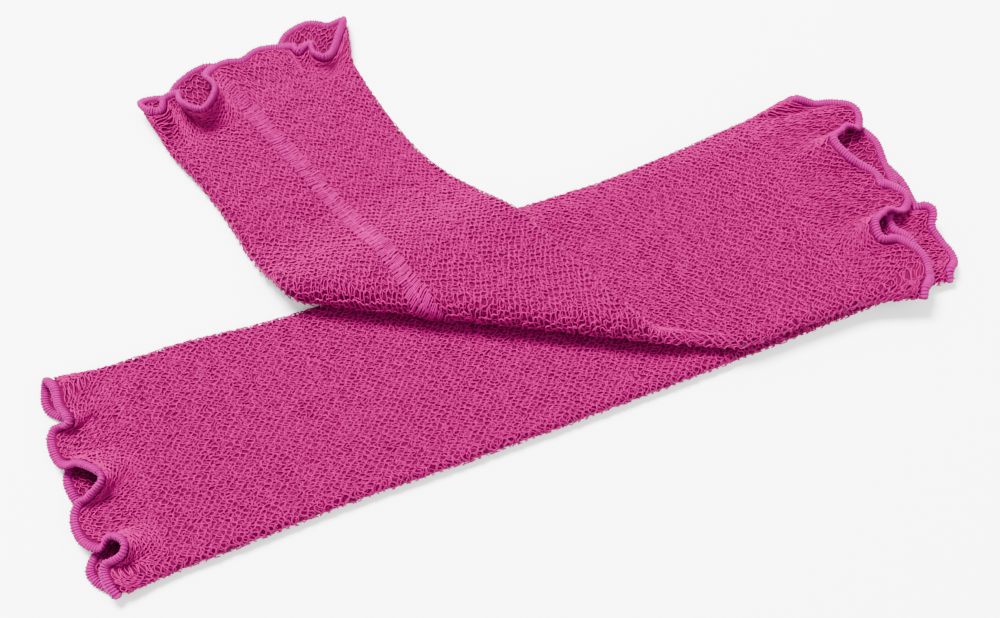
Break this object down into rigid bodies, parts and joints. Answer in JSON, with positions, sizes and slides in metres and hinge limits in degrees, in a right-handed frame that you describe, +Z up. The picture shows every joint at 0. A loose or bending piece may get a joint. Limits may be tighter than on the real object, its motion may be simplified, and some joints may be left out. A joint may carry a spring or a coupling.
{
  "type": "ruffled wrist warmers",
  "caption": "Pair of soft knitted wrist warmers with ruffled ends and rolled hems, laid flat, one folded over the other.",
  "frame": {"origin": "on the surface that the pair lies on, under the middle of its bounding box", "axes": "+Z up; +X to the right and +Y away from the viewer, as the pair lies in the picture, with X its longest extent"},
  "size_m": [0.3164, 0.239, 0.0188],
  "materials": {
    "straight_warmer_tube": "openwork knit, magenta",
    "straight_warmer_left_hem": "close overlock thread, magenta",
    "straight_warmer_right_hem": "close overlock thread, magenta",
    "folded_warmer_tube": "openwork knit, magenta",
    "folded_warmer_right_hem": "close overlock thread, magenta",
    "folded_warmer_upper_hem": "close overlock thread, magenta",
    "folded_warmer_seam_band": "close cross stitches, magenta"
  },
  "bodies": {
    "root": {"straight_warmer_tube": "straight_warmer_tube", "straight_warmer_left_hem": "straight_warmer_left_hem", "straight_warmer_right_hem": "straight_warmer_right_hem", "folded_warmer_tube": "folded_warmer_tube", "folded_warmer_right_hem": "folded_warmer_right_hem", "folded_warmer_upper_hem": "folded_warmer_upper_hem", "folded_warmer_seam_band": "folded_warmer_seam_band"}
  },
  "joints": []
}
